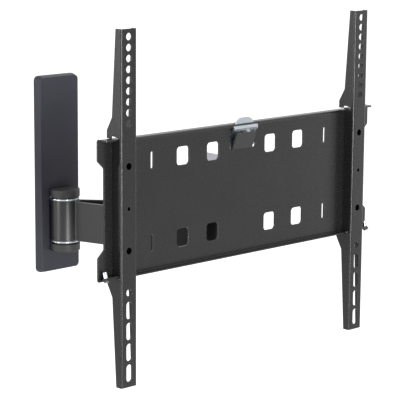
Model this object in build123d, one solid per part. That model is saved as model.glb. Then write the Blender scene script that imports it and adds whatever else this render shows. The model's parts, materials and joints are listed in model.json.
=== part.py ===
"""Full motion television wall mount: one swinging arm, a tilting head, a latched plate and two strips.

Frame, in millimetres: the wall is the plane y = 0, the origin is the middle of the wall bracket's back
face, x is to the right seen from the room, z is up, and the mount stands out from the wall towards -y.
Pieces on the television's side are drawn in the plate's own frame (x from the plate's middle, y from the
strips' front face towards the wall, z from the middle of the hole pattern) and are then moved into place.
"""
import os
from math import atan2, cos, radians, sin, tan

from build123d import *

# Television hole pattern and strips.
HOLE_SPAN_X = 400.0
HOLE_ROW_Z = 50.0
STRIP_WIDTH = 24.6
STRIP_TOP = 209.0
STRIP_BOTTOM = -214.7
STRIP_SHEET = 2.0
STRIP_BEND = 2.6
STRIP_END_DEPTH = 9.5
STRIP_SHOULDER_DEPTH = 16.2
STRIP_SHOULDER_RUN = 15.5
STRIP_LEG_DEPTH = 25.2
STRIP_LEG_RISE = 8.5
STRIP_LEG_DROP = 5.0
STRIP_TOOTH_DROP = 1.0
STRIP_HOLE_D = 8.6
STRIP_PILOT_D = 5.0
STRIP_HOLE_STEP = 12.5
STRIP_HOLES_UP = 9
STRIP_SLOT_LENGTH = 21.3
STRIP_SLOT_STEP = 25.4
STRIP_SLOTS = 4
STRIP_FIRST_SLOT = -121.4
NOTCH_RISE = 2.0
NOTCH_FRONT_RISE = 0.5
NOTCH_SLOPE_Y = 12.0
NOTCH_EASE = 0.5
NOTCH_FRONT = 1.2

# Television plate.
PLATE_FACE = 16.0
PLATE_SHEET = 2.0
PLATE_TOP = 79.2
PLATE_BOTTOM = -87.5
PLATE_BEND = 4.0
PLATE_FLANGE = 12.6
FLANGE_END_X = 197.0
EAR_X = 234.0
EAR_TOP = 82.5
EAR_Z = 57.0
EAR_CORNER = 3.0
WAIST_X = 224.5
WAIST_Z = 48.0
WAIST_R = 4.0
WINDOW_WIDTH = 20.0
WINDOW_HEIGHT = 22.5
WINDOW_CORNER = 4.5
WINDOW_STEP = 50.0
PLATE_SLOT_X = 150.0
PLATE_SLOT_WIDTH = 4.0
PLATE_SLOT_LENGTH = 20.5
LIP_DEPTH = 11.0
LIP_INNER_X = 186.5
LIP_CORNER = 3.0
LIP_BEND = 3.0
LIP_SLOPE = 15.0
LIP_ROOT = -83.5
LIP_ROOM = 1.2
LIP_RELIEF = 0.2

# Lock screws at the lower ends of the plate.
LOCK_X = 227.4
LOCK_IN = 6.6
LOCK_HEAD_D = 5.6
LOCK_HEAD_HEIGHT = 7.6
LOCK_EDGE = 0.9
LOCK_SOCKET_FLATS = 3.0
LOCK_SOCKET_DEPTH = 3.5
LOCK_SHANK_D = 4.0
LOCK_NUT_FLATS = 5.6
LOCK_NUT_HEIGHT = 1.8
LOCK_TIP = 0.3
TAB_SHEET = 1.5
TAB_EDGE = 1.6

# Latch in the middle of the plate's top edge.
LATCH_X = 1.0
OPENING_HALF = 22.0
OPENING_BOTTOM = 48.3
OPENING_TOP = 75.5
OPENING_CORNER = 2.0
TAB_HALF = 16.7
TAB_TOP = 69.0
TAB_LEAN = 7.2
TAB_ROOT = 1.5
BAR_HALF = 18.4
BAR_FRONT = 10.0
BAR_DEPTH = 4.4
BAR_BOTTOM = 73.0
BAR_TOP = 77.4
BAR_ROLL = 2.1
BAR_EDGE = 0.8
CATCH_OFFSET = 6.0
CATCH_HALF = 15.5
CATCH_TOP = 86.2
CATCH_ARCH = 10.5
CATCH_ROOM = 1.2
LATCH_SHEET = 2.0
LATCH_BOTTOM = 47.0
LATCH_CORNER_X = 12.0
LATCH_CORNER_Z = 4.8
LATCH_CHEEK_LOW = 64.0
LATCH_CHEEK_TOP = 70.5
LATCH_LIFT = 4.0
LATCH_TAIL_HALF = 10.0
LATCH_TAIL_BITE = 3.5
LATCH_STEP = 3.0
GUIDE_SHEET = 1.5
GUIDE_MARGIN = 2.0
GUIDE_BOTTOM = 54.0
GUIDE_TOP = 74.0
GUIDE_GAP = 0.4

# Tilting bracket behind the plate.
BRACKET_HALF = 34.0
BRACKET_SHEET = 2.5
BRACKET_TOP = 43.0
BRACKET_FOOT = -20.0
BRACKET_BACK = 68.0
BRACKET_CORNER = 12.0
BRACKET_RIM = 0.1
BRACKET_GATE_HALF = 26.0
BRACKET_GATE_BOTTOM = 45.0
TILT_Y = 52.0
TILT_Z = 8.0

# Swivel head on the arm's outer barrel.
HEAD_HALF = 28.5
HEAD_SHEET = 4.0
HEAD_BOSS_R = 14.0
HEAD_DISC_R = 19.8
HEAD_FRONT = 40.0
HEAD_TAIL_TURN = 37.0
DISC_GAP = 0.1
TILT_BOLT_D = 10.0
TILT_HEAD_D = 18.0
TILT_HEAD_HEIGHT = 6.0
TILT_HEAD_EDGE = 1.6
TILT_SOCKET_FLATS = 6.0
TILT_SOCKET_DEPTH = 3.5
TILT_NUT_FLATS = 17.0
TILT_NUT_HEIGHT = 5.0
TILT_DISC_R = 15.0

# Arm and its two barrels.
SCREEN_DEPTH = 84.0
ARM_LENGTH = 215.0
ARM_SWING = 16.0
ARM_HEIGHT = 55.2
ARM_WALL = 3.0
ARM_NEAR = 2.5
ARM_NEAR_TRIM = 2.0
ARM_NECK = 7.0
ARM_WIDE = 21.0
ARM_NECK_U = 20.0
ARM_WIDE_U = 49.0
ARM_NECK_R = 3.0
ARM_WIDE_R = 6.0
HOLLOW_R = 1.0
HOLLOW_WIDE_R = 4.0
BARREL_R = 19.8
BARREL_BORE_R = 14.5
TV_BARREL_TRIM = 3.0
RING_R = 20.1
RING_INNER_R = 12.0
RING_HEIGHT = 2.1
RING_EDGE = 0.8
THRUST_R = 17.5
THRUST_HEIGHT = 1.95
SEAT_GAP = 0.04
PIN_D = 12.0
RUN_GAP = 0.05
FIT_GAP = 0.03
BUSH_LENGTH = 18.0
PIN_HEAD_D = 20.0
PIN_HEAD_HEIGHT = 4.4
PIN_NUT_FLATS = 18.0
PIN_NUT_HEIGHT = 4.4
PIN_HEAD_EDGE = 1.0
PIN_TIP_EDGE = 0.8
TV_PIN_RISE = 0.4
TV_NUT_RISE = 0.8

# Wall bracket, cover and hinge.
AXIS_OUT = 20.8
WALL_PLATE_WIDTH = 58.0
WALL_PLATE_HEIGHT = 254.0
WALL_PLATE_SHEET = 3.0
WALL_PLATE_CORNER = 5.0
WALL_WINDOW_EASE = 1.5
WALL_BOLT_D = 9.0
WALL_BOLT_SPACING = 220.0
WALL_BOLT_Z = -6.0
COVER_WIDTH = 67.6
COVER_HEIGHT = 264.6
COVER_DEPTH = 12.0
COVER_STRAIGHT = 4.0
COVER_DRAFT = 2.0
COVER_EDGE = 1.2
COVER_WALL = 2.0
COVER_CORNER = 6.5
COVER_POST_R = 4.0
COVER_POST_IN = 9.0
COVER_POST_HEIGHTS = (93.0, 14.0, -115.0)
LUG_R = 16.4
LUG_NECK_HALF = 10.0
LUG_HEIGHT = 8.0
CAP_R = 20.5
CAP_TOP_WALL = 1.96
CAP_EDGE = 1.2
CAP_OVERLAP = 1.0
COVER_HINGE_GAP = 0.45
HINGE_Z = -60.2
SCREEN_Z = 13.9

# How far a cut reaches past the face it opens, and the room left around a hidden piece.
PAST = 1.0
LOOSE = 0.4

# Places that follow from the sizes above.
SCREEN_X = ARM_LENGTH * sin(radians(ARM_SWING))
TV_AXIS_Y = -AXIS_OUT - ARM_LENGTH * cos(radians(ARM_SWING))
SCREEN_Y = TV_AXIS_Y - SCREEN_DEPTH
PLATE_BACK = PLATE_FACE + PLATE_SHEET
FLANGE_BACK = PLATE_BACK + PLATE_FLANGE - PLATE_SHEET
BARREL_TOP = ARM_HEIGHT / 2
RING_Z = BARREL_TOP + FIT_GAP
THRUST_Z = RING_Z + RING_HEIGHT + SEAT_GAP
LUG_Z = THRUST_Z + THRUST_HEIGHT + SEAT_GAP
CAP_TOP = LUG_Z + LUG_HEIGHT + SEAT_GAP + CAP_TOP_WALL
HEAD_Z = HINGE_Z + LUG_Z - SCREEN_Z
WEB_FRONT = PLATE_BACK + FIT_GAP
WEB_BACK = WEB_FRONT + BRACKET_SHEET
TAIL_Y = WEB_BACK + GUIDE_GAP
CATCH_Y = PLATE_BACK + GUIDE_GAP
TILT_DISC_HEIGHT = BRACKET_HALF - BRACKET_SHEET - HEAD_HALF - 2 * DISC_GAP
LIP_RISE = tan(radians(LIP_SLOPE))
LIP_OUTER_X = EAR_X - EAR_CORNER - LIP_RELIEF
EAR_BOTTOM = LIP_ROOT - PLATE_SHEET * (LIP_RISE + 1 / cos(radians(LIP_SLOPE)))
LOCK_SEAT = FIT_GAP + TAB_SHEET + FIT_GAP
PIN_R = PIN_D / 2
STRIP_X = HOLE_SPAN_X / 2


def face_of(points, radii=None):
    """A flat face from corner points, each corner with its own radius."""
    if radii is None:
        return make_face(Polyline(*points, close=True))
    return make_face(FilletPolyline(*points, radius=radii, close=True))


def along_x(face, x0, x1):
    """A solid from a (y, z) face between two x places."""
    return Pos(x0, 0, 0) * extrude(Plane.YZ * face, x1 - x0)


def along_y(face, y0, y1):
    """A solid from an (x, z) face between two y places."""
    return Pos(0, y1, 0) * extrude(Plane.XZ * face, y1 - y0)


def along_z(face, z0, z1):
    """A solid from an (x, y) face between two heights."""
    return Pos(0, 0, z0) * extrude(face, z1 - z0)


def block(x0, x1, y0, y1, z0, z1):
    """A plain block between six planes."""
    return Pos((x0 + x1) / 2, (y0 + y1) / 2, (z0 + z1) / 2) * Box(x1 - x0, y1 - y0, z1 - z0)


def post(radius, x, y, z0, z1):
    """An upright round bar."""
    return Pos(x, y, (z0 + z1) / 2) * Cylinder(radius, z1 - z0)


def tube(outer, inner, x, y, z0, z1):
    """An upright round sleeve."""
    return along_z(Pos(x, y) * (Circle(outer) - Circle(inner)), z0, z1)


def cross_bar(radius, x0, x1, y, z):
    """A round bar that lies along x."""
    return along_x(Pos(y, z) * Circle(radius), x0, x1)


def hexagon(flats):
    """A hexagon by the distance across its flats."""
    return RegularPolygon(flats / 2, 6, major_radius=False)


def edges_at(part, axis, place, tolerance=0.02):
    """The edges of a part that lie in one plane across an axis."""
    return part.edges().filter_by_position(axis, place - tolerance, place + tolerance)


# Pieces on the wall.
def wall_bracket():
    plate = along_y(RectangleRounded(WALL_PLATE_WIDTH, WALL_PLATE_HEIGHT, WALL_PLATE_CORNER),
                    -WALL_PLATE_SHEET, 0)
    window_half = (RING_R ** 2 - (AXIS_OUT - WALL_PLATE_SHEET) ** 2) ** 0.5 + WALL_WINDOW_EASE
    reach = LUG_Z - SEAT_GAP
    plate -= block(-window_half, window_half, -WALL_PLATE_SHEET - PAST, PAST,
                   HINGE_Z - reach, HINGE_Z + reach)
    for side in (-1, 1):
        hole = Pos(0, WALL_BOLT_Z + side * WALL_BOLT_SPACING / 2) * Circle(WALL_BOLT_D / 2)
        plate -= along_y(hole, -WALL_PLATE_SHEET - PAST, PAST)
    outline = Pos(0, -AXIS_OUT) * Circle(LUG_R)
    outline += Pos(0, (-AXIS_OUT - WALL_PLATE_SHEET / 2) / 2) * Rectangle(
        2 * LUG_NECK_HALF, AXIS_OUT - WALL_PLATE_SHEET / 2)
    bracket = plate
    for side in (-1, 1):
        lug = along_z(outline, LUG_Z, LUG_Z + LUG_HEIGHT)
        lug -= post(PIN_R + FIT_GAP, 0, -AXIS_OUT, LUG_Z - PAST, LUG_Z + LUG_HEIGHT + PAST)
        pocket_floor = LUG_Z + LUG_HEIGHT - PIN_HEAD_HEIGHT - 2 * SEAT_GAP
        pocket_r = max(PIN_HEAD_D / 2, PIN_NUT_FLATS / 3 ** 0.5) + LOOSE
        lug -= post(pocket_r, 0, -AXIS_OUT, pocket_floor, LUG_Z + LUG_HEIGHT + PAST)
        if side < 0:
            lug = mirror(lug, Plane.XY)
        bracket += Pos(0, 0, HINGE_Z) * lug
    return bracket


def cover_form(inset, back):
    """The cover's outer form, or the room inside it when set in by the wall: a straight rim and a draft."""
    width = COVER_WIDTH - 2 * inset
    height = COVER_HEIGHT - 2 * inset
    corner = COVER_CORNER - inset
    rim = along_y(RectangleRounded(width, height, corner), -COVER_STRAIGHT, back)
    wide = Plane.XZ.offset(COVER_STRAIGHT) * RectangleRounded(width, height, corner)
    narrow = Plane.XZ.offset(COVER_DEPTH - inset) * RectangleRounded(
        width - 2 * COVER_DRAFT, height - 2 * COVER_DRAFT, corner - COVER_DRAFT / 2)
    return rim + loft([wide.face(), narrow.face()])


def wall_cover():
    outer = cover_form(0, 0)
    outer = fillet(edges_at(outer, Axis.Y, -COVER_DEPTH), COVER_EDGE)
    cover = outer - cover_form(COVER_WALL, PAST)
    for z in COVER_POST_HEIGHTS:
        for side in (-1, 1):
            spot = Pos(side * (WALL_PLATE_WIDTH / 2 - COVER_POST_IN), z) * Circle(COVER_POST_R)
            cover += along_y(spot, COVER_WALL / 2 - COVER_DEPTH, -WALL_PLATE_SHEET - FIT_GAP)
    reach = CAP_TOP + COVER_HINGE_GAP
    cover -= post(CAP_R + COVER_HINGE_GAP, 0, -AXIS_OUT, HINGE_Z - reach, HINGE_Z + reach)
    return cover


def hinge_cap():
    """The upper cap in the hinge's own height; the lower one is its mirror image."""
    cap = post(CAP_R, 0, -AXIS_OUT, LUG_Z, CAP_TOP)
    cap = fillet(edges_at(cap, Axis.Z, CAP_TOP), CAP_EDGE)
    cap -= post(LUG_R + LOOSE, 0, -AXIS_OUT, LUG_Z - PAST, LUG_Z + LUG_HEIGHT + SEAT_GAP)
    cap -= block(-2 * CAP_R, 2 * CAP_R, CAP_OVERLAP - COVER_DEPTH, CAP_R, LUG_Z - PAST, CAP_TOP + PAST)
    neck = LUG_NECK_HALF + LOOSE
    cap -= block(-neck, neck, -AXIS_OUT, CAP_R, LUG_Z - PAST, LUG_Z + LUG_HEIGHT + SEAT_GAP)
    return cap


def wall_pin():
    head_floor = LUG_Z + LUG_HEIGHT - PIN_HEAD_HEIGHT - SEAT_GAP
    end = -(LUG_Z + LUG_HEIGHT - 2 * SEAT_GAP)
    pin = post(PIN_R, 0, -AXIS_OUT, end, head_floor)
    head = post(PIN_HEAD_D / 2, 0, -AXIS_OUT, head_floor, head_floor + PIN_HEAD_HEIGHT - SEAT_GAP)
    pin += fillet(edges_at(head, Axis.Z, head_floor + PIN_HEAD_HEIGHT - SEAT_GAP), PIN_HEAD_EDGE)
    return Pos(0, 0, HINGE_Z) * chamfer(edges_at(pin, Axis.Z, end), PIN_TIP_EDGE)


def wall_pin_nut():
    top = -(LUG_Z + LUG_HEIGHT - PIN_NUT_HEIGHT - SEAT_GAP)
    nut = along_z(Pos(0, -AXIS_OUT) * (hexagon(PIN_NUT_FLATS) - Circle(PIN_R + FIT_GAP)),
                  top - PIN_NUT_HEIGHT + SEAT_GAP, top)
    return Pos(0, 0, HINGE_Z) * nut


# Pieces on the arm, drawn along -y from the wall hinge at the origin.
def arm_profile():
    length = ARM_LENGTH
    near = -ARM_NEAR
    body = face_of([(near, 0), (near, -length), (ARM_NECK, -length), (ARM_NECK, ARM_NECK_U - length),
                    (ARM_WIDE, ARM_WIDE_U - length), (ARM_WIDE, -ARM_WIDE_U), (ARM_NECK, -ARM_NECK_U),
                    (ARM_NECK, 0)], [0, 0, 0, ARM_NECK_R, ARM_WIDE_R, ARM_WIDE_R, ARM_NECK_R, 0])
    lean = atan2(ARM_WIDE - ARM_NECK, ARM_WIDE_U - ARM_NECK_U)
    shift = ARM_WALL / cos(lean)
    start = BARREL_R + ARM_WALL
    inner_near = near + ARM_WALL
    inner_neck = ARM_NECK - shift + (start - ARM_NECK_U) * sin(lean) / cos(lean)
    inner_wide = ARM_WIDE - ARM_WALL
    turn = ARM_NECK_U + (inner_wide - ARM_NECK + shift) * cos(lean) / sin(lean)
    hollow = face_of([(inner_near, -start), (inner_neck, -start), (inner_wide, -turn),
                      (inner_wide, turn - length), (inner_neck, start - length),
                      (inner_near, start - length)], [HOLLOW_R, HOLLOW_R, HOLLOW_WIDE_R, HOLLOW_WIDE_R, HOLLOW_R, HOLLOW_R])
    profile = body - hollow
    profile += Circle(BARREL_R)
    profile += Pos(0, -length) * Circle(BARREL_R)
    profile -= Circle(BARREL_BORE_R)
    profile -= Pos(0, -length) * Circle(BARREL_BORE_R)
    arm = along_z(profile, -BARREL_TOP, BARREL_TOP)
    trim = BARREL_R + PAST
    arm -= block(-trim, trim, -length - trim, trim - length, -BARREL_TOP - PAST, TV_BARREL_TRIM - BARREL_TOP)
    arm -= block(near - PAST, inner_near, start - length, -start,
                 BARREL_TOP - ARM_NEAR_TRIM, BARREL_TOP + PAST)
    return arm


def bush(u, z0, z1):
    return tube(BARREL_BORE_R - FIT_GAP, PIN_R + RUN_GAP, 0, -u, z0, z1)


def ring(u, z0):
    part = tube(RING_R, RING_INNER_R, 0, -u, z0, z0 + RING_HEIGHT)
    rim = part.edges().filter_by(GeomType.CIRCLE).group_by(SortBy.RADIUS)[-1]
    return fillet(rim, RING_EDGE)


def thrust_disc(u, z0):
    return tube(THRUST_R, PIN_R + LOOSE, 0, -u, z0, z0 + THRUST_HEIGHT)


# Pieces on the swivel head, drawn in the plate's frame.
def swivel_head():
    base = Pos(0, SCREEN_DEPTH) * Circle(HEAD_DISC_R)
    rear = HEAD_FRONT + 2 * HEAD_BOSS_R
    tail_x = HEAD_DISC_R * cos(radians(HEAD_TAIL_TURN))
    tail_y = SCREEN_DEPTH + HEAD_DISC_R * sin(radians(HEAD_TAIL_TURN))
    base += face_of([(-HEAD_HALF, HEAD_FRONT), (HEAD_HALF, HEAD_FRONT), (HEAD_HALF, rear),
                     (tail_x, tail_y),
                     (-tail_x, tail_y), (-HEAD_HALF, rear)])
    head = along_z(base, HEAD_Z, HEAD_Z + HEAD_SHEET)
    cheek = face_of([(HEAD_FRONT, HEAD_Z), (HEAD_FRONT + 2 * HEAD_BOSS_R, HEAD_Z),
                     (TILT_Y + HEAD_BOSS_R, TILT_Z), (TILT_Y - HEAD_BOSS_R, TILT_Z)])
    cheek += Pos(TILT_Y, TILT_Z) * Circle(HEAD_BOSS_R)
    cheek -= Pos(TILT_Y, TILT_Z) * Circle(TILT_BOLT_D / 2 + FIT_GAP)
    for side in (-1, 1):
        x0, x1 = sorted((side * (HEAD_HALF - HEAD_SHEET), side * HEAD_HALF))
        head += along_x(cheek, x0, x1)
    head -= post(PIN_R + FIT_GAP, 0, SCREEN_DEPTH, HEAD_Z - PAST, HEAD_Z + HEAD_SHEET + PAST)
    return head


def tv_pin():
    top = HEAD_Z + HEAD_SHEET + FIT_GAP
    bottom = HINGE_Z - SCREEN_Z - BARREL_TOP + TV_BARREL_TRIM + TV_PIN_RISE
    pin = post(PIN_R, 0, SCREEN_DEPTH, bottom, top)
    head = post(PIN_HEAD_D / 2, 0, SCREEN_DEPTH, top, top + PIN_HEAD_HEIGHT)
    pin += fillet(edges_at(head, Axis.Z, top + PIN_HEAD_HEIGHT), PIN_HEAD_EDGE)
    return chamfer(edges_at(pin, Axis.Z, bottom), PIN_TIP_EDGE)


def tv_pin_nut():
    bottom = HINGE_Z - SCREEN_Z - BARREL_TOP + TV_BARREL_TRIM + TV_NUT_RISE
    return along_z(Pos(0, SCREEN_DEPTH) * (hexagon(PIN_NUT_FLATS) - Circle(PIN_R + FIT_GAP)),
                   bottom, bottom + PIN_NUT_HEIGHT)


def tilt_bolts():
    group = []
    for side in (-1, 1):
        inner = HEAD_HALF - HEAD_SHEET - TILT_NUT_HEIGHT - LOOSE
        seat = BRACKET_HALF + DISC_GAP
        bolt = cross_bar(TILT_BOLT_D / 2, inner, seat, TILT_Y, TILT_Z)
        head = cross_bar(TILT_HEAD_D / 2, seat, seat + TILT_HEAD_HEIGHT, TILT_Y, TILT_Z)
        bolt += fillet(edges_at(head, Axis.X, seat + TILT_HEAD_HEIGHT), TILT_HEAD_EDGE)
        socket_floor = seat + TILT_HEAD_HEIGHT - TILT_SOCKET_DEPTH
        bolt -= along_x(Pos(TILT_Y, TILT_Z) * hexagon(TILT_SOCKET_FLATS), socket_floor,
                        seat + TILT_HEAD_HEIGHT + PAST)
        group.append(bolt if side > 0 else mirror(bolt, Plane.YZ))
    return Compound(children=group)


def tilt_nuts():
    group = []
    for side in (-1, 1):
        x1 = HEAD_HALF - HEAD_SHEET - FIT_GAP
        nut = along_x(Pos(TILT_Y, TILT_Z) * (hexagon(TILT_NUT_FLATS) - Circle(TILT_BOLT_D / 2 + FIT_GAP)),
                      x1 - TILT_NUT_HEIGHT, x1)
        group.append(nut if side > 0 else mirror(nut, Plane.YZ))
    return Compound(children=group)


def tilt_discs():
    group = []
    for side in (-1, 1):
        x0 = HEAD_HALF + DISC_GAP
        disc = along_x(Pos(TILT_Y, TILT_Z) * (Circle(TILT_DISC_R) - Circle(TILT_BOLT_D / 2 + FIT_GAP)),
                       x0, x0 + TILT_DISC_HEIGHT)
        group.append(disc if side > 0 else mirror(disc, Plane.YZ))
    return Compound(children=group)


# Pieces that tilt with the television.
def tilt_bracket():
    inner_top = PLATE_TOP - PLATE_SHEET
    inner_bottom = PLATE_BOTTOM + PLATE_SHEET
    ease = PLATE_BEND - PLATE_SHEET + LOOSE
    side_view = face_of([(WEB_FRONT, inner_bottom + ease), (WEB_FRONT, inner_top - ease),
                         (WEB_BACK - BRACKET_RIM, inner_top - FIT_GAP), (WEB_BACK, inner_top - FIT_GAP),
                         (WEB_BACK, inner_bottom + FIT_GAP), (WEB_BACK - BRACKET_RIM, inner_bottom + FIT_GAP)])
    bracket = along_x(side_view, -BRACKET_HALF, BRACKET_HALF)
    gate = block(-BRACKET_GATE_HALF, BRACKET_GATE_HALF, WEB_FRONT - PAST, WEB_BACK + PAST,
                 BRACKET_GATE_BOTTOM, inner_top + PAST)
    bracket -= gate
    cheek = face_of([(WEB_FRONT, BRACKET_FOOT), (WEB_FRONT, BRACKET_TOP), (BRACKET_BACK, BRACKET_TOP),
                     (BRACKET_BACK, BRACKET_FOOT)], [0, 0, BRACKET_CORNER, BRACKET_CORNER])
    cheek -= Pos(TILT_Y, TILT_Z) * Circle(TILT_BOLT_D / 2 + RUN_GAP)
    for side in (-1, 1):
        x0, x1 = sorted((side * (BRACKET_HALF - BRACKET_SHEET), side * BRACKET_HALF))
        bracket += along_x(cheek, x0, x1)
    return bracket


def lip_sections():
    """The ear's two lips in (y, z): the upper one level, the lower one slanting up towards the front."""
    sheet = PLATE_SHEET
    front = PLATE_FACE - LIP_DEPTH
    upper = face_of([(front, EAR_TOP), (PLATE_BACK, EAR_TOP), (PLATE_BACK, EAR_TOP - 2 * LIP_BEND),
                     (PLATE_FACE, EAR_TOP - 2 * LIP_BEND), (PLATE_FACE, EAR_TOP - sheet),
                     (front, EAR_TOP - sheet)], [0, LIP_BEND, 0, 0, LIP_BEND - sheet, 0])
    slant = radians(LIP_SLOPE)
    tip_y = PLATE_FACE - LIP_DEPTH * cos(slant)
    tip_z = LIP_ROOT + LIP_DEPTH * sin(slant)
    lower = face_of([(tip_y, tip_z), (tip_y - sheet * sin(slant), tip_z - sheet * cos(slant)),
                     (PLATE_BACK, EAR_BOTTOM), (PLATE_BACK, LIP_ROOT + LIP_BEND),
                     (PLATE_FACE, LIP_ROOT + LIP_BEND), (PLATE_FACE, LIP_ROOT)],
                    [0, 0, LIP_BEND, 0, 0, LIP_BEND - sheet])
    return upper, lower


def ear():
    """The right ear: a waisted sheet, rounded at its corners, with a lip above and below."""
    high = EAR_TOP - LIP_BEND
    low = LIP_ROOT
    sheet = face_of([(FLANGE_END_X, low), (LIP_OUTER_X, low), (LIP_OUTER_X, EAR_BOTTOM), (EAR_X, EAR_BOTTOM),
                     (EAR_X, -EAR_Z), (WAIST_X, -WAIST_Z), (WAIST_X, WAIST_Z), (EAR_X, EAR_Z),
                     (EAR_X, EAR_TOP), (LIP_OUTER_X, EAR_TOP), (LIP_OUTER_X, high), (FLANGE_END_X, high)],
                    [0, 0, 0, EAR_CORNER, WAIST_R / 2, WAIST_R, WAIST_R, WAIST_R / 2, EAR_CORNER, 0, 0, 0])
    part = along_y(sheet, PLATE_FACE, PLATE_BACK)
    front = PLATE_FACE - LIP_DEPTH
    plan = face_of([(LIP_INNER_X, PLATE_BACK), (LIP_OUTER_X, PLATE_BACK), (LIP_OUTER_X, front),
                    (LIP_INNER_X, front)], [0, 0, LIP_CORNER, LIP_CORNER])
    for section in lip_sections():
        lip = along_x(section, LIP_INNER_X, LIP_OUTER_X)
        lip &= along_z(plan, EAR_BOTTOM - PAST, EAR_TOP + PAST)
        lip -= block(LIP_INNER_X - PAST, FLANGE_END_X, PLATE_FACE - LOOSE, PLATE_BACK + PAST,
                     EAR_BOTTOM - PAST, EAR_TOP + PAST)
        part += lip
    hole = post(LOCK_SHANK_D / 2 + FIT_GAP, LOCK_X, -LOCK_IN, -PLATE_SHEET - PAST, PAST)
    return part - on_lip(hole)


def on_lip(part):
    """From the lower lip's frame, z up from its top face and y back from its root, to the plate's frame."""
    return Pos(0, PLATE_FACE, LIP_ROOT) * Rot(-LIP_SLOPE, 0, 0) * part


def tv_plate():
    top, bottom, sheet = PLATE_TOP, PLATE_BOTTOM, PLATE_SHEET
    section = face_of([(FLANGE_BACK, top), (PLATE_FACE, top), (PLATE_FACE, bottom), (FLANGE_BACK, bottom),
                       (FLANGE_BACK, bottom + sheet), (PLATE_BACK, bottom + sheet),
                       (PLATE_BACK, top - sheet), (FLANGE_BACK, top - sheet)],
                      [0, PLATE_BEND, PLATE_BEND, 0, 0, PLATE_BEND - sheet, PLATE_BEND - sheet, 0])
    plate = along_x(section, -FLANGE_END_X, FLANGE_END_X)
    right_ear = ear()
    plate += right_ear
    plate += mirror(right_ear, Plane.YZ)
    cuts = Sketch()
    for z in (-HOLE_ROW_Z, HOLE_ROW_Z):
        for n in (-2, -1, 1, 2):
            cuts += Pos(n * WINDOW_STEP, z) * RectangleRounded(WINDOW_WIDTH, WINDOW_HEIGHT, WINDOW_CORNER)
        for side in (-1, 1):
            cuts += Pos(side * PLATE_SLOT_X, z) * Rot(0, 0, 90) * SlotOverall(PLATE_SLOT_LENGTH,
                                                                              PLATE_SLOT_WIDTH)
    middle = (OPENING_BOTTOM + OPENING_TOP) / 2
    cuts += Pos(LATCH_X, middle) * RectangleRounded(2 * OPENING_HALF, OPENING_TOP - OPENING_BOTTOM,
                                                    OPENING_CORNER)
    plate -= along_y(cuts, PLATE_FACE - PAST, PLATE_BACK + GUIDE_GAP)
    catch_x = LATCH_X + CATCH_OFFSET
    room = CATCH_HALF + CATCH_ROOM
    plate -= block(catch_x - room, catch_x + room, PLATE_BACK, CATCH_Y + LATCH_SHEET + CATCH_ROOM,
                   top - PLATE_BEND, top + PAST)
    lean = face_of([(PLATE_FACE, OPENING_BOTTOM - TAB_ROOT), (PLATE_FACE, OPENING_BOTTOM),
                    (PLATE_FACE - TAB_LEAN, TAB_TOP), (PLATE_FACE - TAB_LEAN + sheet, TAB_TOP),
                    (PLATE_BACK, OPENING_BOTTOM), (PLATE_BACK, OPENING_BOTTOM - TAB_ROOT)],
                   [0, TAB_ROOT, 0, 0, TAB_ROOT, 0])
    plate += along_x(lean, LATCH_X - TAB_HALF, LATCH_X + TAB_HALF)
    return plate


def strip_side_view():
    """A strip's flange in (y, z): legs beside the plate, a notch for each lip and a tooth behind the ear."""
    back = STRIP_LEG_DEPTH + PAST
    leg_top = EAR_TOP + STRIP_LEG_RISE
    leg_low = EAR_BOTTOM - STRIP_LEG_DROP
    view = face_of([(-PAST, STRIP_TOP), (STRIP_END_DEPTH, STRIP_TOP),
                    (STRIP_SHOULDER_DEPTH, leg_top + STRIP_SHOULDER_RUN), (STRIP_LEG_DEPTH, leg_top),
                    (STRIP_LEG_DEPTH, leg_low), (STRIP_SHOULDER_DEPTH, leg_low - STRIP_SHOULDER_RUN),
                    (STRIP_END_DEPTH, STRIP_BOTTOM), (-PAST, STRIP_BOTTOM)],
                   [0, 0, STRIP_BEND, STRIP_SHEET, STRIP_SHEET, STRIP_BEND, 0, 0])
    face = PLATE_FACE - FIT_GAP
    low = LIP_ROOT - PLATE_SHEET / 2
    tooth_end = EAR_TOP - STRIP_TOOTH_DROP
    view -= face_of([(face, low), (back, low - (back - PLATE_FACE) * LIP_RISE), (back, tooth_end),
                     (face, tooth_end)])
    front = PLATE_FACE - LIP_DEPTH - NOTCH_FRONT
    tooth = PLATE_BACK + GUIDE_GAP / 2
    floor = EAR_TOP - PLATE_SHEET - NOTCH_EASE
    view -= face_of([(front, floor), (tooth, floor), (tooth, EAR_TOP + NOTCH_RISE),
                     (NOTCH_SLOPE_Y, EAR_TOP + NOTCH_RISE), (front, EAR_TOP + NOTCH_FRONT_RISE)],
                    [NOTCH_FRONT, 0, NOTCH_EASE, LIP_CORNER, NOTCH_FRONT / 2])
    slot = face_of([(-LIP_DEPTH - NOTCH_FRONT, FIT_GAP), (back, FIT_GAP), (back, -PLATE_SHEET - LIP_ROOM),
                    (-LIP_DEPTH - NOTCH_FRONT, -PLATE_SHEET - LIP_ROOM)],
                   [NOTCH_FRONT / 2, 0, 0, NOTCH_FRONT / 2])
    view -= Pos(PLATE_FACE, LIP_ROOT) * Rot(0, 0, -LIP_SLOPE) * slot
    for root in (LIP_ROOT, EAR_TOP - PLATE_SHEET):
        view -= Pos(PLATE_FACE, root) * Circle(LIP_BEND - PLATE_SHEET + LOOSE)
    return view


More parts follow.
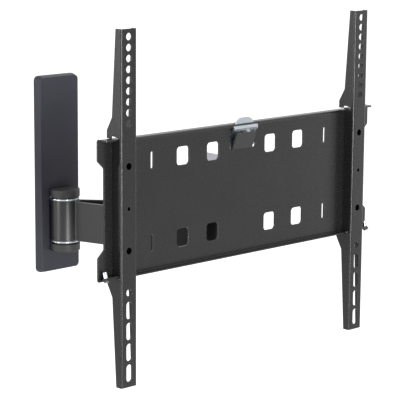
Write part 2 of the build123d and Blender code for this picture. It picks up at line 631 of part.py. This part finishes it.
def strip(side):
    half = STRIP_WIDTH / 2
    depth = STRIP_LEG_DEPTH + PAST
    inner_r = STRIP_BEND - STRIP_SHEET
    section = face_of([(-half, depth), (-half, 0), (half, 0), (half, depth), (half - STRIP_SHEET, depth),
                       (half - STRIP_SHEET, STRIP_SHEET), (STRIP_SHEET - half, STRIP_SHEET),
                       (STRIP_SHEET - half, depth)],
                      [0, STRIP_BEND, STRIP_BEND, 0, 0, inner_r, inner_r, 0])
    part = along_z(section, STRIP_BOTTOM - PAST, STRIP_TOP + PAST)
    part &= along_x(strip_side_view(), -half - PAST, half + PAST)
    cuts = Sketch()
    for n in range(STRIP_HOLES_UP):
        z = 2 * HOLE_ROW_Z + n * STRIP_HOLE_STEP
        cuts += Pos(0, z) * Circle(STRIP_HOLE_D / 2)
    for z in (HOLE_ROW_Z, -HOLE_ROW_Z, -2 * HOLE_ROW_Z):
        cuts += Pos(0, z) * Circle(STRIP_HOLE_D / 2)
    cuts += Circle(STRIP_PILOT_D / 2)
    for n in range(STRIP_SLOTS):
        z = STRIP_FIRST_SLOT - n * STRIP_SLOT_STEP
        cuts += Pos(0, z) * Rot(0, 0, 90) * SlotOverall(STRIP_SLOT_LENGTH, STRIP_HOLE_D)
    part -= along_y(cuts, -PAST, STRIP_SHEET + PAST)
    reach = LIP_OUTER_X - STRIP_X
    tab = along_z(face_of([(half - STRIP_SHEET, TAB_EDGE - LIP_DEPTH), (reach, TAB_EDGE - LIP_DEPTH),
                           (reach, -TAB_EDGE), (half - STRIP_SHEET, -TAB_EDGE)],
                          [0, LIP_CORNER, LIP_CORNER, 0]), FIT_GAP, FIT_GAP + TAB_SHEET)
    tab -= post(LOCK_SHANK_D / 2 + FIT_GAP, LOCK_X - STRIP_X, -LOCK_IN, -PAST, TAB_SHEET + PAST)
    part += on_lip(tab)
    if side < 0:
        part = mirror(part, Plane.YZ)
    return Pos(side * STRIP_X, 0, 0) * part


def lock_screw(side):
    x = side * LOCK_X
    top = LOCK_SEAT + LOCK_HEAD_HEIGHT
    head = post(LOCK_HEAD_D / 2, x, -LOCK_IN, LOCK_SEAT, top)
    head = fillet(edges_at(head, Axis.Z, top), LOCK_EDGE)
    head -= along_z(Pos(x, -LOCK_IN) * hexagon(LOCK_SOCKET_FLATS), top - LOCK_SOCKET_DEPTH, top + PAST)
    tip = -PLATE_SHEET - FIT_GAP - LOCK_NUT_HEIGHT - LOCK_TIP
    return on_lip(head + post(LOCK_SHANK_D / 2, x, -LOCK_IN, tip, LOCK_SEAT))


def lock_nut(side):
    top = -PLATE_SHEET - FIT_GAP
    ring_face = hexagon(LOCK_NUT_FLATS) - Circle(LOCK_SHANK_D / 2 + RUN_GAP)
    return on_lip(along_z(Pos(side * LOCK_X, -LOCK_IN) * ring_face, top - LOCK_NUT_HEIGHT, top))


def latch_guide():
    half = OPENING_HALF + GUIDE_MARGIN
    back = TAIL_Y + LATCH_SHEET + GUIDE_GAP + GUIDE_SHEET
    front = PLATE_BACK + FIT_GAP
    bend = GUIDE_SHEET + LOOSE
    section = face_of([(-half, front), (-half, back), (half, back), (half, front),
                       (half - GUIDE_SHEET, front), (half - GUIDE_SHEET, back - GUIDE_SHEET),
                       (GUIDE_SHEET - half, back - GUIDE_SHEET), (GUIDE_SHEET - half, front)],
                      [0, bend, bend, 0, 0, LOOSE, LOOSE, 0])
    return Pos(LATCH_X, 0, 0) * along_z(section, GUIDE_BOTTOM, GUIDE_TOP)


def latch():
    half = OPENING_HALF + GUIDE_MARGIN - GUIDE_SHEET - GUIDE_GAP
    shoulder = PLATE_TOP - PLATE_BEND - LATCH_LIFT - LOOSE
    left = CATCH_OFFSET - CATCH_HALF
    right = CATCH_OFFSET + CATCH_HALF
    face = face_of([(-half, LATCH_BOTTOM), (LATCH_CORNER_X, LATCH_BOTTOM),
                    (half, LATCH_BOTTOM + LATCH_CORNER_Z), (half, shoulder), (right, shoulder),
                    (right, CATCH_TOP), (left, CATCH_TOP), (left, shoulder), (-half, shoulder)],
                   [0, 0, 0, 0, 0, CATCH_ARCH, CATCH_ARCH, 0, 0])
    part = along_y(face, CATCH_Y, CATCH_Y + LATCH_SHEET)
    tail_low = BRACKET_GATE_BOTTOM - LATCH_TAIL_BITE
    step = LATCH_BOTTOM + LATCH_STEP
    part += block(-LATCH_TAIL_HALF, LATCH_TAIL_HALF, CATCH_Y, TAIL_Y + LATCH_SHEET, LATCH_BOTTOM, step)
    part += block(-LATCH_TAIL_HALF, LATCH_TAIL_HALF, TAIL_Y, TAIL_Y + LATCH_SHEET, tail_low, step)
    bar_back = BAR_FRONT + BAR_DEPTH
    root = CATCH_Y + LATCH_SHEET / 2
    cheek = face_of([(BAR_FRONT, BAR_BOTTOM), (BAR_FRONT, BAR_TOP), (bar_back - BAR_ROLL, BAR_TOP),
                     (PLATE_FACE, LATCH_CHEEK_TOP), (root, LATCH_CHEEK_TOP), (root, LATCH_CHEEK_LOW)],
                    [BAR_EDGE, BAR_EDGE, BAR_EDGE, 0, 0, 0])
    for side in (-1, 1):
        x0, x1 = sorted((side * BAR_HALF, side * (BAR_HALF + LATCH_SHEET)))
        part += along_x(cheek, x0, x1)
    bar = along_x(face_of([(BAR_FRONT, BAR_BOTTOM), (BAR_FRONT, BAR_TOP), (bar_back, BAR_TOP),
                           (bar_back, BAR_BOTTOM)], [BAR_ROLL, BAR_EDGE, BAR_EDGE, BAR_EDGE]),
                  -BAR_HALF - PAST, BAR_HALF + PAST)
    return Pos(LATCH_X, 0, 0) * (part + bar)


def on_arm(part):
    """From the arm's frame to the shared frame."""
    return Pos(0, -AXIS_OUT, HINGE_Z) * Rot(0, 0, ARM_SWING) * part


def on_screen(part):
    """From the plate's frame to the shared frame."""
    return Pos(SCREEN_X, SCREEN_Y, SCREEN_Z) * part


NUT_ROOM = TV_BARREL_TRIM + TV_NUT_RISE + PIN_NUT_HEIGHT + LOOSE
UPPER_CAP = hinge_cap()
NODES = {
    "wall_bracket": wall_bracket(),
    "wall_cover": wall_cover(),
    "hinge_cap_top": Pos(0, 0, HINGE_Z) * UPPER_CAP,
    "hinge_cap_bottom": Pos(0, 0, HINGE_Z) * mirror(UPPER_CAP, Plane.XY),
    "wall_pin": wall_pin(),
    "wall_pin_nut": wall_pin_nut(),
    "arm_profile": on_arm(arm_profile()),
    "wall_bush_top": on_arm(bush(0, BARREL_TOP - BUSH_LENGTH, BARREL_TOP)),
    "wall_bush_bottom": on_arm(bush(0, -BARREL_TOP, BUSH_LENGTH - BARREL_TOP)),
    "wall_ring_top": on_arm(ring(0, RING_Z)),
    "wall_ring_bottom": on_arm(ring(0, -RING_Z - RING_HEIGHT)),
    "wall_thrust_top": on_arm(thrust_disc(0, THRUST_Z)),
    "wall_thrust_bottom": on_arm(thrust_disc(0, -THRUST_Z - THRUST_HEIGHT)),
    "tv_bush_top": on_arm(bush(ARM_LENGTH, BARREL_TOP - BUSH_LENGTH, BARREL_TOP)),
    "tv_bush_bottom": on_arm(bush(ARM_LENGTH, NUT_ROOM - BARREL_TOP, NUT_ROOM + BUSH_LENGTH - BARREL_TOP)),
    "tv_ring": on_arm(ring(ARM_LENGTH, RING_Z)),
    "tv_thrust": on_arm(thrust_disc(ARM_LENGTH, THRUST_Z)),
    "swivel_head": on_screen(swivel_head()),
    "tv_pin": on_screen(tv_pin()),
    "tv_pin_nut": on_screen(tv_pin_nut()),
    "tilt_bolts": on_screen(tilt_bolts()),
    "tilt_nuts": on_screen(tilt_nuts()),
    "tilt_discs": on_screen(tilt_discs()),
    "tilt_bracket": on_screen(tilt_bracket()),
    "tv_plate": on_screen(tv_plate()),
    "strip_left": on_screen(strip(-1)),
    "strip_right": on_screen(strip(1)),
    "lock_nut_left": on_screen(lock_nut(-1)),
    "lock_nut_right": on_screen(lock_nut(1)),
    "lock_screw_left": on_screen(lock_screw(-1)),
    "lock_screw_right": on_screen(lock_screw(1)),
    "latch_guide": on_screen(latch_guide()),
    "latch": on_screen(latch()),
}

os.makedirs("parts", exist_ok=True)
for name, shape in NODES.items():
    export_step(shape, f"parts/{name}.step")
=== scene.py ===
# %% [markdown]
# # A swinging wall mount for a television
#
# The mount is folded steel under black powder coat, a hollow arm, moulded caps and a few bright plated
# parts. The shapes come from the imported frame, so this lesson is about finishes, light and small detail:
# how a dark object on white is lit so that its edges and bends still read.

import json
import math

import bmesh
import bpy
from mathutils import Matrix, Vector


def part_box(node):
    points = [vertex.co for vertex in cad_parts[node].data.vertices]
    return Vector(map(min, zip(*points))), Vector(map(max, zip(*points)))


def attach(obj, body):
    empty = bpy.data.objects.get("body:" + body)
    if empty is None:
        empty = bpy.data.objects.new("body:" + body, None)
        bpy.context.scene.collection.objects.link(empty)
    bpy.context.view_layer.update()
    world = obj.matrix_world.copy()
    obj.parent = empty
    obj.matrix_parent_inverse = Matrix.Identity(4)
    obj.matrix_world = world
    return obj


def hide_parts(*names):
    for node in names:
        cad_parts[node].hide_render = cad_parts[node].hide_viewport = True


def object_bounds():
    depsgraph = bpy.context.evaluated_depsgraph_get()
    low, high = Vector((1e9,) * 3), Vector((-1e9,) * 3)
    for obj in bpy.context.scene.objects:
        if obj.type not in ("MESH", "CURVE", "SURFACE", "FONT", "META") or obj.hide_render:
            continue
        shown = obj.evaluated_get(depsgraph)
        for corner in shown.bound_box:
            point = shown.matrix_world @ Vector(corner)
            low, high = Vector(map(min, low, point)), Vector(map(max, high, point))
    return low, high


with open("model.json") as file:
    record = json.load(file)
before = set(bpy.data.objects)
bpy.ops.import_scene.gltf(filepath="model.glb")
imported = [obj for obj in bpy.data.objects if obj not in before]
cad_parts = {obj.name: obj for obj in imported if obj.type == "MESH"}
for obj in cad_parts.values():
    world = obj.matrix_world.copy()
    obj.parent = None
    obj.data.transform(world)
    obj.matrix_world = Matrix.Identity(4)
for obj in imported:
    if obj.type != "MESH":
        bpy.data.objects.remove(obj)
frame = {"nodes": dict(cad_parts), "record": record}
cad_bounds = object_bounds()
MM = 0.001

# %% [markdown]
# ## Where things are
#
# The wall hinge and the television's side are found from the frame's own joints and boxes, so that every
# later piece is placed from the same source as the solids.

# %% Reference places
joint_place = {joint["name"]: Vector(joint["pos_m"]) for joint in frame["record"]["behaviour"]["joints"]
               if "pos_m" in joint}
mount_place = {mount["name"]: Vector(mount["pos_m"]) for mount in frame["record"]["mounts"]}
WALL_HINGE = joint_place["wall_swing"]
TV_HINGE = joint_place["tv_swivel"]
PLATE_MIDDLE = mount_place["tv_holes_400x200"]
print("plate middle", tuple(round(v, 4) for v in PLATE_MIDDLE))

# %% [markdown]
# ## Small helpers
#
# Colours are written as hex values, the way a paint chart gives them, and turned to linear light once.
# One function adds a shader node with its settings and links; everything else is spelled out where it is
# used.

# %% Colour and node helpers
def linear(hex_colour):
    """An sRGB hex colour as linear RGBA."""
    values = [int(hex_colour[i:i + 2], 16) / 255 for i in (1, 3, 5)]
    return tuple(v / 12.92 if v <= 0.04045 else ((v + 0.055) / 1.055) ** 2.4 for v in values) + (1.0,)


def add_node(tree, kind, inputs=None, **settings):
    """A shader node with its settings, and with each input set to a value or linked to an output."""
    made = tree.nodes.new(kind)
    for name, value in settings.items():
        setattr(made, name, value)
    for name, value in (inputs or {}).items():
        socket = made.inputs[name]
        if isinstance(value, bpy.types.NodeSocket):
            tree.links.new(value, socket)
        else:
            socket.default_value = value
    return made


def new_material(name):
    """An empty material: its tree, its surface shader and its Object coordinates."""
    material = bpy.data.materials.new(name)
    material.use_nodes = True
    tree = material.node_tree
    tree.nodes.clear()
    shader = add_node(tree, "ShaderNodeBsdfPrincipled")
    add_node(tree, "ShaderNodeOutputMaterial", {"Surface": shader.outputs["BSDF"]})
    place = add_node(tree, "ShaderNodeTexCoord").outputs["Object"]
    return material, tree, shader, place


# %% [markdown]
# ## Black powder coat
#
# Powder coat is baked resin: satin, dark, and never quite flat. Two scales of noise make it. A fine one is
# the orange peel that breaks up a highlight, and a broad one drifts the colour and the gloss a little. Cut
# edges get a painted highlight, a lighter colour that is partly the coat pulling thin there; a rounded normal
# there catches the light.

# %% Powder coat
def powder_coat(name, colour, edge_colour, roughness, shine, peel_mm, peel_depth, edge_mm=0.5):
    material, tree, shader, place = new_material(name)
    broad = add_node(tree, "ShaderNodeTexNoise", {"Vector": place, "Scale": 1 / (60 * MM), "Detail": 3.0})
    peel = add_node(tree, "ShaderNodeTexNoise", {"Vector": place, "Scale": 1 / (peel_mm * MM),
                                                 "Detail": 2.0, "Roughness": 0.55})
    rounded = add_node(tree, "ShaderNodeBevel", {"Radius": edge_mm * MM}, samples=6)
    flat = add_node(tree, "ShaderNodeNewGeometry")
    facing = add_node(tree, "ShaderNodeVectorMath", {0: rounded.outputs["Normal"],
                                                     1: flat.outputs["Normal"]}, operation="DOT_PRODUCT")
    edge = add_node(tree, "ShaderNodeMapRange", {"Value": facing.outputs["Value"], "From Min": 0.995,
                                                 "From Max": 0.86, "To Min": 0.0, "To Max": 1.0})
    drift = add_node(tree, "ShaderNodeMapRange", {"Value": broad.outputs["Fac"], "From Min": 0.3,
                                                  "From Max": 0.7, "To Min": 0.9, "To Max": 1.1})
    shade = add_node(tree, "ShaderNodeMix", {"Factor": 1.0, "A": linear(colour)}, data_type="RGBA",
                     blend_type="MULTIPLY")
    tree.links.new(drift.outputs["Result"], shade.inputs["B"])
    # painted highlight: cut edges are mixed toward the lighter edge colour, partly for the coat pulling thin
    edge_highlight = add_node(tree, "ShaderNodeMix", {"Factor": edge.outputs["Result"], "B": linear(edge_colour)},
                    data_type="RGBA")
    tree.links.new(shade.outputs["Result"], edge_highlight.inputs["A"])
    gloss = add_node(tree, "ShaderNodeMapRange", {"Value": peel.outputs["Fac"], "From Min": 0.3,
                                                  "From Max": 0.7, "To Min": roughness - 0.05,
                                                  "To Max": roughness + 0.05})
    bump = add_node(tree, "ShaderNodeBump", {"Height": peel.outputs["Fac"], "Strength": 0.35,
                                             "Distance": peel_depth * MM,
                                             "Normal": rounded.outputs["Normal"]})
    tree.links.new(edge_highlight.outputs["Result"], shader.inputs["Base Color"])
    tree.links.new(gloss.outputs["Result"], shader.inputs["Roughness"])
    tree.links.new(bump.outputs["Normal"], shader.inputs["Normal"])
    shader.inputs["Specular IOR Level"].default_value = shine
    return material


# each coat's second colour is the painted highlight on its cut edges, partly thin coat
plate_coat = powder_coat("black_powder_coat", "#1c1c1d", "#505052", 0.25, 0.42, 1.1, 0.015)
cover_coat = powder_coat("anthracite_powder_coat", "#3b3b43", "#6a655e", 0.36, 0.2, 0.9, 0.03)
arm_coat = powder_coat("satin_dark_coat", "#161617", "#b0b0b0", 0.34, 0.6, 1.4, 0.003, 1.0)
bracket_coat = powder_coat("black_primer", "#101011", "#2a2a2a", 0.6, 0.12, 1.2, 0.04)

# %% [markdown]
# ## Moulded plastic
#
# The hinge caps are glass-filled nylon from a spark-eroded mould: a dull, dark grey with a fine pitted grain.
# The bushes and discs are the same family, darker and smoother.

# %% Moulded plastic
def moulded_plastic(name, colour, edge_colour, roughness, grain_mm):
    material, tree, shader, place = new_material(name)
    grain = add_node(tree, "ShaderNodeTexVoronoi", {"Vector": place, "Scale": 1 / (grain_mm * MM)})
    cloud = add_node(tree, "ShaderNodeTexNoise", {"Vector": place, "Scale": 1 / (14 * MM), "Detail": 4.0})
    tone = add_node(tree, "ShaderNodeMix", {"Factor": cloud.outputs["Fac"], "A": linear(colour),
                                            "B": linear(edge_colour)}, data_type="RGBA")
    gloss = add_node(tree, "ShaderNodeMapRange", {"Value": cloud.outputs["Fac"], "From Min": 0.3,
                                                  "From Max": 0.7, "To Min": roughness - 0.06,
                                                  "To Max": roughness + 0.06})
    rounded = add_node(tree, "ShaderNodeBevel", {"Radius": 0.4 * MM}, samples=6)
    bump = add_node(tree, "ShaderNodeBump", {"Height": grain.outputs["Distance"], "Strength": 0.4,
                                             "Distance": 0.06 * MM, "Normal": rounded.outputs["Normal"]})
    tree.links.new(tone.outputs["Result"], shader.inputs["Base Color"])
    tree.links.new(gloss.outputs["Result"], shader.inputs["Roughness"])
    tree.links.new(bump.outputs["Normal"], shader.inputs["Normal"])
    shader.inputs["IOR"].default_value = 1.53
    return material


cap_plastic = moulded_plastic("moulded_cap_nylon", "#222223", "#2b2a2a", 0.55, 0.8)
bush_plastic = moulded_plastic("smooth_bush_plastic", "#141414", "#1b1b1b", 0.5, 0.6)

# %% [markdown]
# ## Plated and bare metal
#
# Chrome is a mirror with a slightly cold tint, and shows little of its own but fingerprints and polishing.
# Zinc plate is duller, with a faint lilac passivation and drifting gloss. The pins are plain turned steel.

# %% Metals
def metal(name, colour, second_colour, roughness, drift_mm, spread):
    material, tree, shader, place = new_material(name)
    drift = add_node(tree, "ShaderNodeTexNoise", {"Vector": place, "Scale": 1 / (drift_mm * MM),
                                                  "Detail": 4.0, "Roughness": 0.6})
    tone = add_node(tree, "ShaderNodeMix", {"Factor": drift.outputs["Fac"], "A": linear(colour),
                                            "B": linear(second_colour)}, data_type="RGBA")
    gloss = add_node(tree, "ShaderNodeMapRange", {"Value": drift.outputs["Fac"], "From Min": 0.3,
                                                  "From Max": 0.7, "To Min": roughness - spread,
                                                  "To Max": roughness + spread})
    rounded = add_node(tree, "ShaderNodeBevel", {"Radius": 0.35 * MM}, samples=6)
    bump = add_node(tree, "ShaderNodeBump", {"Height": drift.outputs["Fac"], "Strength": 0.15,
                                             "Distance": 0.05 * MM, "Normal": rounded.outputs["Normal"]})
    tree.links.new(tone.outputs["Result"], shader.inputs["Base Color"])
    tree.links.new(gloss.outputs["Result"], shader.inputs["Roughness"])
    tree.links.new(bump.outputs["Normal"], shader.inputs["Normal"])
    shader.inputs["Metallic"].default_value = 1.0
    return material


chrome = metal("chrome_plate", "#ccd2d8", "#c2c9d0", 0.24, 9.0, 0.01)
zinc = metal("zinc_plate", "#a5a3ad", "#94929a", 0.36, 6.0, 0.07)
steel = metal("turned_steel", "#8d8d8f", "#7b7b7d", 0.3, 4.0, 0.06)

# %% [markdown]
# ## Dress the solids
#
# Most solids already have the right shape, and only trade the flat packed colour for one of these finishes.

# %% Give every node its finish
finishes = {
    plate_coat: ["tv_plate", "strip_left", "strip_right", "latch_guide"],
    cover_coat: ["wall_cover"],
    arm_coat: ["arm_profile"],
    bracket_coat: ["wall_bracket"],
    cap_plastic: ["hinge_cap_top", "hinge_cap_bottom"],
    bush_plastic: ["wall_bush_top", "wall_bush_bottom", "tv_bush_top", "tv_bush_bottom", "wall_thrust_top",
                   "wall_thrust_bottom", "tv_thrust", "tilt_discs"],
    chrome: ["wall_ring_top", "wall_ring_bottom", "tv_ring", "latch", "lock_screw_left", "lock_screw_right"],
    zinc: ["swivel_head", "tilt_bracket"],
    steel: ["wall_pin", "wall_pin_nut", "tv_pin", "tv_pin_nut", "tilt_bolts", "tilt_nuts", "lock_nut_left",
            "lock_nut_right"],
}
for material, names in finishes.items():
    for name in names:
        for slot in frame["nodes"][name].material_slots:
            slot.material = material
print("dressed", sum(len(names) for names in finishes.values()), "of", len(frame["nodes"]))

# %% [markdown]
# ## Copies that stand in
#
# Four solids are shown by reshaped copies. The corners of a copied mesh are joined first, because a solid
# comes with each face cut loose. Smooth shading would then bend the light on large flat faces near a fold, so
# each corner's normal is weighted by the area of the faces around it.

# %% Copy and stand-in helpers
JOIN = 0.001 * MM
SHARP = math.radians(25)


def merged_copy(node):
    """A copy of a node's mesh with its split corners joined, ready to be reshaped."""
    copy = bmesh.new()
    copy.from_mesh(frame["nodes"][node].data)
    bmesh.ops.remove_doubles(copy, verts=copy.verts, dist=JOIN)
    return copy


def stand_in(copy, name, body, node, coats):
    """The piece that shows a reshaped copy in its node's place, riding on the same body."""
    mesh = bpy.data.meshes.new(name)
    copy.to_mesh(mesh)
    copy.free()
    for coat in coats:
        mesh.materials.append(coat)
    mesh.set_sharp_from_angle(angle=SHARP)
    piece = bpy.data.objects.new(name, mesh)
    bpy.context.collection.objects.link(piece)
    piece.modifiers.new("flat_faces", "WEIGHTED_NORMAL").keep_sharp = True
    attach(piece, body)
    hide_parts(node)
    print(name, "faces", len(mesh.polygons))


# %% [markdown]
# ## The arm's painted shade
#
# The arm keeps its satin sheen where it leaves the wall hinge, and has a painted shade behind the plate. The
# copy is cut across a few times between a third and half of its length, and each stretch is painted a little
# darker, with less sheen, than the last, standing in for the plate's shadow.

# %% Arm with painted shade behind the plate
SHADE_STEPS = 8
SHADE_START, SHADE_STRIDE = 0.3, 0.035
SHEEN, SHADE_GLOSS_DROP = 0.6, 0.06
SATIN, SATIN_LOSS = 0.34, 0.03
arm_lit_and_shaded_coats = [arm_coat]
# Painted shade: each stretch further out gets a copy of the coat that is darker, rougher and less glossy, with
# a dimmer painted edge highlight.
for step in range(1, SHADE_STEPS + 1):
    arm_lit_and_shaded_coats.append(powder_coat("satin_dark_coat_%d" % step, "#141415", "#8a8a8a", SATIN + SATIN_LOSS * step,
                                 SHEEN - SHADE_GLOSS_DROP * step, 1.4, 0.003, 1.0))
arm_copy = merged_copy("arm_profile")
reach = TV_HINGE - WALL_HINGE
cuts = [reach * (SHADE_START + SHADE_STRIDE * step) for step in range(SHADE_STEPS)]
for cut in cuts:
    bmesh.ops.bisect_plane(arm_copy, geom=arm_copy.verts[:] + arm_copy.edges[:] + arm_copy.faces[:],
                           dist=JOIN, plane_co=WALL_HINGE + cut, plane_no=reach)
for face in arm_copy.faces:
    outward = (face.calc_center_median() - WALL_HINGE).dot(reach)
    face.material_index = sum(outward > cut.dot(reach) for cut in cuts)
stand_in(arm_copy, "arm_with_painted_shade", "arm", "arm_profile", arm_lit_and_shaded_coats)

# %% [markdown]
# ## Strips that close on the lower lips
#
# Each strip is slotted so that a lip of the plate can pass through its folded edges. The solid leaves room
# under the lip for the plate's own bend; on the real strip the edge comes up close to the lip. In the copies,
# the lower side of the slot is brought up to it. Through the holes, the photograph also shows that the edge on
# the right is folded a little less deep, and it is trimmed so: its ends least, its two shoulders most.

# %% Strips with closed lip slots
LIP_SLOPE = math.radians(15)
LIP_ROOT = Vector((0, 16, -83.5)) * MM
lip_normal = Vector((0, math.sin(LIP_SLOPE), math.cos(LIP_SLOPE)))
lip_back = Vector((0, math.cos(LIP_SLOPE), -math.sin(LIP_SLOPE)))
SLOT_FLOOR, SLOT_CLOSED, SLOT_FRONT = -3.25 * MM, -2.15 * MM, -12.6 * MM
TAPER_FROM, ENDS_FROM = 95 * MM, 200 * MM
EDGE_NEAR, EDGE_FAR = 8.6 * MM, 19 * MM
END_TRIM = Vector((0, -1.4, 0)) * MM
UPPER_TRIM = Vector((0, -3.0, 0)) * MM
LOWER_TRIM = Vector((0, -3.4, 5.2)) * MM
for name in ("strip_left", "strip_right"):
    strip_copy = merged_copy(name)
    low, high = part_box(name)
    middle = (low.x + high.x) / 2
    for vertex in strip_copy.verts:
        place = vertex.co - PLATE_MIDDLE
        rise = (place - LIP_ROOT).dot(lip_normal)
        if SLOT_FLOOR < rise < SLOT_CLOSED and (place - LIP_ROOT).dot(lip_back) > SLOT_FRONT:
            vertex.co += lip_normal * (SLOT_CLOSED - rise)
        if vertex.co.x > middle and abs(place.z) > TAPER_FROM and EDGE_NEAR < place.y < EDGE_FAR:
            shoulder_trim = UPPER_TRIM if place.z > 0 else LOWER_TRIM
            vertex.co += END_TRIM if abs(place.z) > ENDS_FROM else shoulder_trim
    stand_in(strip_copy, "folded_" + name, "tv_frame", name, [plate_coat])

# %% [markdown]
# ## The plate's forward fold
#
# Along the plate's bottom runs a narrow level fold, between the lips under the two strips: dark on top, with
# a light line where its front edge is rounded. It is added to a copy of the plate and let into the plate's
# bend.

# %% Plate with its forward fold
FOLD_LOW, FOLD_HIGH = Vector((-186.4, 7.5, -84.15)) * MM, Vector((186.4, 17.2, -82.15)) * MM
FOLD_ROUND = 0.6 * MM
NEARLY = 0.01 * MM
plate_copy = merged_copy("tv_plate")
fold_size = FOLD_HIGH - FOLD_LOW
fold_place = Matrix.Translation(PLATE_MIDDLE + (FOLD_LOW + FOLD_HIGH) / 2)
fold = bmesh.ops.create_cube(plate_copy, size=1.0,
                             matrix=fold_place @ Matrix.Diagonal((*fold_size, 1)))["verts"]
fold_front = PLATE_MIDDLE.y + FOLD_LOW.y + NEARLY
front_edges = [edge for edge in plate_copy.edges
               if all(v in fold and v.co.y < fold_front for v in edge.verts)
               and edge.calc_length() > fold_size.x / 2]
bmesh.ops.bevel(plate_copy, geom=front_edges, offset=FOLD_ROUND, offset_type="OFFSET", affect="EDGES",
                segments=3, profile=0.5, material=-1)
stand_in(plate_copy, "folded_plate", "tv_frame", "tv_plate", [plate_coat])

# %% [markdown]
# ## Studio
#
# The photograph is a cut-out on white. A pale floor and a white world give that ground; the object itself is
# lit by tall soft boxes on the left, in front and on the right, so that bends and the barrel show as soft
# lines, and by a broad one above.

# %% Floor and world
FLOOR_DROP = 0.5
floor_mesh = bpy.data.meshes.new("studio_floor")
floor_bm = bmesh.new()
bmesh.ops.create_grid(floor_bm, x_segments=1, y_segments=1, size=30.0,
                      matrix=Matrix.Translation((0, 0, cad_bounds[0][2] - FLOOR_DROP)))
floor_bm.to_mesh(floor_mesh)
floor_bm.free()
floor = bpy.data.objects.new("studio_floor", floor_mesh)
bpy.context.collection.objects.link(floor)


def seen_directly(tree, mirrored):
    """One for rays from the camera or through glass, and a given share for rays from a mirror."""
    path = add_node(tree, "ShaderNodeLightPath")
    gleam = add_node(tree, "ShaderNodeMath", {0: path.outputs["Is Glossy Ray"], 1: mirrored},
                     operation="MULTIPLY")
    either = add_node(tree, "ShaderNodeMath", {0: path.outputs["Is Camera Ray"],
                                               1: gleam.outputs["Value"]}, operation="MAXIMUM")
    return add_node(tree, "ShaderNodeMath", {0: either.outputs["Value"],
                                             1: path.outputs["Is Transmission Ray"]},
                    operation="MAXIMUM").outputs["Value"]


ground = bpy.data.materials.new("pale_floor")
ground.use_nodes = True
tree = ground.node_tree
tree.nodes.clear()
paint = add_node(tree, "ShaderNodeBsdfDiffuse", {"Color": linear("#e4e4e4")})
lift = add_node(tree, "ShaderNodeEmission", {"Color": (1, 1, 1, 1), "Strength": seen_directly(tree, 0.5)})
both = add_node(tree, "ShaderNodeAddShader", {0: paint.outputs["BSDF"], 1: lift.outputs["Emission"]})
add_node(tree, "ShaderNodeOutputMaterial", {"Surface": both.outputs["Shader"]})
floor_mesh.materials.append(ground)

world = bpy.data.worlds.new("white_studio")
bpy.context.scene.world = world
world.use_nodes = True
tree = world.node_tree
tree.nodes.clear()
AMBIENT = 0.3
strength = add_node(tree, "ShaderNodeMapRange", {"Value": seen_directly(tree, 1.0), "To Min": AMBIENT,
                                                 "To Max": 1.0})
sky = add_node(tree, "ShaderNodeBackground", {"Color": (1, 1, 1, 1),
                                              "Strength": strength.outputs["Result"]})
add_node(tree, "ShaderNodeOutputWorld", {"Surface": sky.outputs["Background"]})


# %% Soft boxes
def soft_box(name, azimuth, elevation, distance, width, height, power):
    """A soft box that faces the plate's middle, placed by its direction from there in degrees."""
    side, rise = math.radians(azimuth), math.radians(elevation)
    out = Vector((math.sin(side) * math.cos(rise), -math.cos(side) * math.cos(rise), math.sin(rise)))
    lamp = bpy.data.lights.new(name, "AREA")
    lamp.shape = "RECTANGLE"
    lamp.size = width
    lamp.size_y = height
    lamp.energy = power
    lamp_object = bpy.data.objects.new(name, lamp)
    lamp_object.location = PLATE_MIDDLE + out * distance
    lamp_object.rotation_euler = (-out).to_track_quat("-Z", "Y").to_euler()
    bpy.context.collection.objects.link(lamp_object)


soft_box("left_strip", -97, 2, 2.0, 0.22, 1.3, 10)
soft_box("side_strip", -128, 9, 2.0, 0.25, 1.1, 5.5)
soft_box("front_strip", -19, 2, 2.2, 0.22, 1.3, 54)
soft_box("right_strip", 66, 6, 1.5, 0.35, 1.2, 4)
soft_box("top_box", 0, 80, 1.9, 1.4, 1.4, 10)

# %% [markdown]
# ## Camera
#
# The view was solved from the hole pattern, whose real spacing is known: turned to the left, a little above,
# from about two metres with a long lens.

# %% Camera at the photograph's view
PHOTO_SIDE = 400
SENSOR = 36.0
VIEW_AZIMUTH = math.radians(-43.635)
VIEW_ELEVATION = math.radians(10.757)
VIEW_ROLL = math.radians(0.39)
FOCAL_PIXELS = 1781.145
ASIDE = Vector((-62.774, -14.394, 2201.595)) * MM

back = Vector((math.sin(VIEW_AZIMUTH) * math.cos(VIEW_ELEVATION),
               -math.cos(VIEW_AZIMUTH) * math.cos(VIEW_ELEVATION), math.sin(VIEW_ELEVATION)))
level = Vector((math.cos(VIEW_AZIMUTH), math.sin(VIEW_AZIMUTH), 0))
upright = back.cross(level)
right = level * math.cos(VIEW_ROLL) + upright * math.sin(VIEW_ROLL)
up = upright * math.cos(VIEW_ROLL) - level * math.sin(VIEW_ROLL)
turn = Matrix((right, up, back)).transposed()

camera = bpy.data.cameras.new("photo_view")
camera.sensor_width = SENSOR
camera.lens = FOCAL_PIXELS / PHOTO_SIDE * SENSOR
camera_object = bpy.data.objects.new("photo_view", camera)
camera_object.matrix_world = Matrix.Translation(PLATE_MIDDLE + turn @ ASIDE) @ turn.to_4x4()
bpy.context.collection.objects.link(camera_object)
bpy.context.scene.camera = camera_object
bpy.context.scene.view_settings.view_transform = "Standard"
print("camera", tuple(round(v, 3) for v in camera_object.location), "lens", round(camera.lens, 2))
